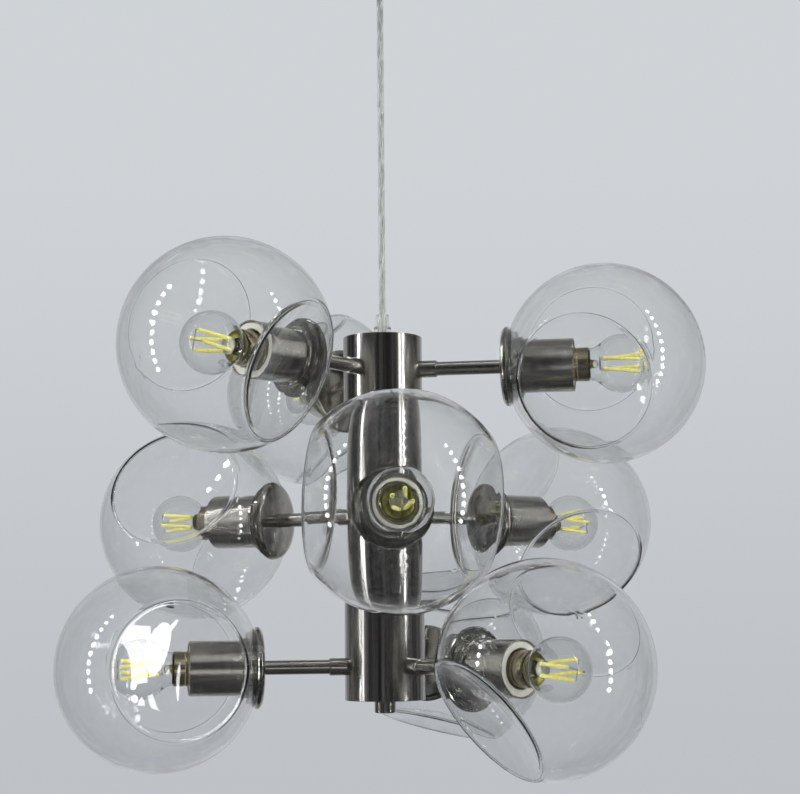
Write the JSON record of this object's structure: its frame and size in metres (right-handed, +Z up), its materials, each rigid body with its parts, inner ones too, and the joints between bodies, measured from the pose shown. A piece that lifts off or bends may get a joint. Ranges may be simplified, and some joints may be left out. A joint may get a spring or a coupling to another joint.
{
  "type": "cluster pendant",
  "caption": "Cluster pendant: a round metal column on a clear cord, with tiers of horizontal arms that carry clear dimpled glass globes round small globe lamps.",
  "frame": {"origin": "centre of the ceiling fixing, in the plane where the canopy and its crossbar meet the ceiling", "axes": "+Z up to the ceiling, -Y towards the picture's camera, +X to the right as seen from there"},
  "size_m": [0.4808, 0.4756, 0.639],
  "materials": {
    "brushed_nickel": "brushed nickel plate, grain along the column and round the arms",
    "polished_nickel": "polished nickel plate",
    "zinc_steel": "bright zinc-plated steel, hidden",
    "clear_pvc": "clear glossy PVC and polycarbonate",
    "terminal_plastic": "off-white moulded plastic",
    "silicone": "translucent silicone",
    "porcelain": "glazed ivory porcelain",
    "screw_shell": "plated brass",
    "wire_insulation": "clear and white wire insulation",
    "shade_glass": "clear blown glass, polished",
    "lamp_glass": "thin clear lamp glass",
    "lamp_cap_metal": "nickel-plated lamp cap",
    "filament": "phosphor-coated filament sticks"
  },
  "bodies": {
    "ceiling_set": {"ceiling_canopy": "brushed_nickel", "mounting_crossbar": "zinc_steel", "canopy_side_screws": "polished_nickel", "supply_terminal_block": "terminal_plastic", "canopy_cord_grip": "clear_pvc", "cord_end_in_canopy": "clear_pvc"},
    "cord": {"suspension_cord": "clear_pvc"},
    "lamp_cluster": {"column_cord_grip": "clear_pvc", "column_tube": "brushed_nickel", "column_top_cap": "brushed_nickel", "column_bottom_cap": "brushed_nickel", "rod_bridge": "zinc_steel", "centre_rod": "zinc_steel", "bottom_finial_nut": "polished_nickel", "arm_collars": "brushed_nickel", "arm_tubes": "brushed_nickel", "arm_lock_nuts": "zinc_steel", "shade_plates": "polished_nickel", "shade_gaskets": "silicone", "shade_snap_rings": "polished_nickel", "socket_covers": "brushed_nickel", "lampholder_bodies": "porcelain", "socket_shells": "screw_shell", "lead_wires": "wire_insulation"},
    "globe_t1": {"globe_t1": "shade_glass"},
    "lamp_t1_screw": {"lamp_t1_cap": "lamp_cap_metal"},
    "lamp_t1_bulb": {"lamp_t1_glass": "lamp_glass", "lamp_t1_filament": "filament"},
    "globe_t2": {"globe_t2": "shade_glass"},
    "lamp_t2_screw": {"lamp_t2_cap": "lamp_cap_metal"},
    "lamp_t2_bulb": {"lamp_t2_glass": "lamp_glass", "lamp_t2_filament": "filament"},
    "globe_t3": {"globe_t3": "shade_glass"},
    "lamp_t3_screw": {"lamp_t3_cap": "lamp_cap_metal"},
    "lamp_t3_bulb": {"lamp_t3_glass": "lamp_glass", "lamp_t3_filament": "filament"},
    "globe_m1": {"globe_m1": "shade_glass"},
    "lamp_m1_screw": {"lamp_m1_cap": "lamp_cap_metal"},
    "lamp_m1_bulb": {"lamp_m1_glass": "lamp_glass", "lamp_m1_filament": "filament"},
    "globe_m2": {"globe_m2": "shade_glass"},
    "lamp_m2_screw": {"lamp_m2_cap": "lamp_cap_metal"},
    "lamp_m2_bulb": {"lamp_m2_glass": "lamp_glass", "lamp_m2_filament": "filament"},
    "globe_m3": {"globe_m3": "shade_glass"},
    "lamp_m3_screw": {"lamp_m3_cap": "lamp_cap_metal"},
    "lamp_m3_bulb": {"lamp_m3_glass": "lamp_glass", "lamp_m3_filament": "filament"},
    "globe_b1": {"globe_b1": "shade_glass"},
    "lamp_b1_screw": {"lamp_b1_cap": "lamp_cap_metal"},
    "lamp_b1_bulb": {"lamp_b1_glass": "lamp_glass", "lamp_b1_filament": "filament"},
    "globe_b2": {"globe_b2": "shade_glass"},
    "lamp_b2_screw": {"lamp_b2_cap": "lamp_cap_metal"},
    "lamp_b2_bulb": {"lamp_b2_glass": "lamp_glass", "lamp_b2_filament": "filament"},
    "globe_b3": {"globe_b3": "shade_glass"},
    "lamp_b3_screw": {"lamp_b3_cap": "lamp_cap_metal"},
    "lamp_b3_bulb": {"lamp_b3_glass": "lamp_glass", "lamp_b3_filament": "filament"}
  },
  "joints": [
    {"name": "cord_swing", "type": "hinge", "parent": "ceiling_set", "child": "cord", "pos_m": [0, 0, -0.0468], "axis": [0, 1, 0], "range_deg": [-15, 15]},
    {"name": "column_twist", "type": "hinge", "parent": "cord", "child": "lamp_cluster", "pos_m": [0, 0, -0.4525], "axis": [0, 0, 1], "range_deg": [-90, 90]},
    {"name": "globe_t1_turn", "type": "hinge", "parent": "lamp_cluster", "child": "globe_t1", "pos_m": [-0.10799, -0.1287, -0.341], "axis": [-0.6428, -0.766, 0], "continuous": true},
    {"name": "lamp_t1_travel", "type": "slide", "parent": "lamp_cluster", "child": "lamp_t1_screw", "axis": [-0.6428, -0.766, 0], "range_m": [0, 0.0182]},
    {"name": "lamp_t1_turn", "type": "hinge", "parent": "lamp_t1_screw", "child": "lamp_t1_bulb", "pos_m": [-0.10285, -0.12257, -0.341], "axis": [-0.6428, -0.766, 0], "range_deg": [0, 1800]},
    {"name": "globe_t2_turn", "type": "hinge", "parent": "lamp_cluster", "child": "globe_t2", "pos_m": [0.16545, -0.02917, -0.341], "axis": [0.9848, -0.1736, 0], "continuous": true},
    {"name": "lamp_t2_travel", "type": "slide", "parent": "lamp_cluster", "child": "lamp_t2_screw", "axis": [0.9848, -0.1736, 0], "range_m": [0, 0.0182]},
    {"name": "lamp_t2_turn", "type": "hinge", "parent": "lamp_t2_screw", "child": "lamp_t2_bulb", "pos_m": [0.15757, -0.02778, -0.341], "axis": [0.9848, -0.1736, 0], "range_deg": [0, 1800]},
    {"name": "globe_t3_turn", "type": "hinge", "parent": "lamp_cluster", "child": "globe_t3", "pos_m": [-0.05746, 0.15787, -0.341], "axis": [-0.342, 0.9397, 0], "continuous": true},
    {"name": "lamp_t3_travel", "type": "slide", "parent": "lamp_cluster", "child": "lamp_t3_screw", "axis": [-0.342, 0.9397, 0], "range_m": [0, 0.0182]},
    {"name": "lamp_t3_turn", "type": "hinge", "parent": "lamp_t3_screw", "child": "lamp_t3_bulb", "pos_m": [-0.05472, 0.15035, -0.341], "axis": [-0.342, 0.9397, 0], "range_deg": [0, 1800]},
    {"name": "globe_m1_turn", "type": "hinge", "parent": "lamp_cluster", "child": "globe_m1", "pos_m": [0.01026, -0.16769, -0.4525], "axis": [0.061, -0.9981, 0], "continuous": true},
    {"name": "lamp_m1_travel", "type": "slide", "parent": "lamp_cluster", "child": "lamp_m1_screw", "axis": [0.061, -0.9981, 0], "range_m": [0, 0.0182]},
    {"name": "lamp_m1_turn", "type": "hinge", "parent": "lamp_m1_screw", "child": "lamp_m1_bulb", "pos_m": [0.00977, -0.1597, -0.4525], "axis": [0.061, -0.9981, 0], "range_deg": [0, 1800]},
    {"name": "globe_m2_turn", "type": "hinge", "parent": "lamp_cluster", "child": "globe_m2", "pos_m": [0.14009, 0.09273, -0.4525], "axis": [0.8339, 0.5519, 0], "continuous": true},
    {"name": "lamp_m2_travel", "type": "slide", "parent": "lamp_cluster", "child": "lamp_m2_screw", "axis": [0.8339, 0.5519, 0], "range_m": [0, 0.0182]},
    {"name": "lamp_m2_turn", "type": "hinge", "parent": "lamp_m2_screw", "child": "lamp_m2_bulb", "pos_m": [0.13342, 0.08831, -0.4525], "axis": [0.8339, 0.5519, 0], "range_deg": [0, 1800]},
    {"name": "globe_m3_turn", "type": "hinge", "parent": "lamp_cluster", "child": "globe_m3", "pos_m": [-0.15035, 0.07496, -0.4525], "axis": [-0.8949, 0.4462, 0], "continuous": true},
    {"name": "lamp_m3_travel", "type": "slide", "parent": "lamp_cluster", "child": "lamp_m3_screw", "axis": [-0.8949, 0.4462, 0], "range_m": [0, 0.0182]},
    {"name": "lamp_m3_turn", "type": "hinge", "parent": "lamp_m3_screw", "child": "lamp_m3_bulb", "pos_m": [-0.14319, 0.07139, -0.4525], "axis": [-0.8949, 0.4462, 0], "range_deg": [0, 1800]},
    {"name": "globe_b1_turn", "type": "hinge", "parent": "lamp_cluster", "child": "globe_b1", "pos_m": [-0.16545, -0.02917, -0.564], "axis": [-0.9848, -0.1736, 0], "continuous": true},
    {"name": "lamp_b1_travel", "type": "slide", "parent": "lamp_cluster", "child": "lamp_b1_screw", "axis": [-0.9848, -0.1736, 0], "range_m": [0, 0.0182]},
    {"name": "lamp_b1_turn", "type": "hinge", "parent": "lamp_b1_screw", "child": "lamp_b1_bulb", "pos_m": [-0.15757, -0.02778, -0.564], "axis": [-0.9848, -0.1736, 0], "range_deg": [0, 1800]},
    {"name": "globe_b2_turn", "type": "hinge", "parent": "lamp_cluster", "child": "globe_b2", "pos_m": [0.10799, -0.1287, -0.564], "axis": [0.6428, -0.766, 0], "continuous": true},
    {"name": "lamp_b2_travel", "type": "slide", "parent": "lamp_cluster", "child": "lamp_b2_screw", "axis": [0.6428, -0.766, 0], "range_m": [0, 0.0182]},
    {"name": "lamp_b2_turn", "type": "hinge", "parent": "lamp_b2_screw", "child": "lamp_b2_bulb", "pos_m": [0.10285, -0.12257, -0.564], "axis": [0.6428, -0.766, 0], "range_deg": [0, 1800]},
    {"name": "globe_b3_turn", "type": "hinge", "parent": "lamp_cluster", "child": "globe_b3", "pos_m": [0.05746, 0.15787, -0.564], "axis": [0.342, 0.9397, 0], "continuous": true},
    {"name": "lamp_b3_travel", "type": "slide", "parent": "lamp_cluster", "child": "lamp_b3_screw", "axis": [0.342, 0.9397, 0], "range_m": [0, 0.0182]},
    {"name": "lamp_b3_turn", "type": "hinge", "parent": "lamp_b3_screw", "child": "lamp_b3_bulb", "pos_m": [0.05472, 0.15035, -0.564], "axis": [0.342, 0.9397, 0], "range_deg": [0, 1800]}
  ],
  "couplings": [
    {"joint": "lamp_t1_travel", "follows": "lamp_t1_turn", "m_per_rad": 0.00057757},
    {"joint": "lamp_t2_travel", "follows": "lamp_t2_turn", "m_per_rad": 0.00057757},
    {"joint": "lamp_t3_travel", "follows": "lamp_t3_turn", "m_per_rad": 0.00057757},
    {"joint": "lamp_m1_travel", "follows": "lamp_m1_turn", "m_per_rad": 0.00057757},
    {"joint": "lamp_m2_travel", "follows": "lamp_m2_turn", "m_per_rad": 0.00057757},
    {"joint": "lamp_m3_travel", "follows": "lamp_m3_turn", "m_per_rad": 0.00057757},
    {"joint": "lamp_b1_travel", "follows": "lamp_b1_turn", "m_per_rad": 0.00057757},
    {"joint": "lamp_b2_travel", "follows": "lamp_b2_turn", "m_per_rad": 0.00057757},
    {"joint": "lamp_b3_travel", "follows": "lamp_b3_turn", "m_per_rad": 0.00057757}
  ]
}
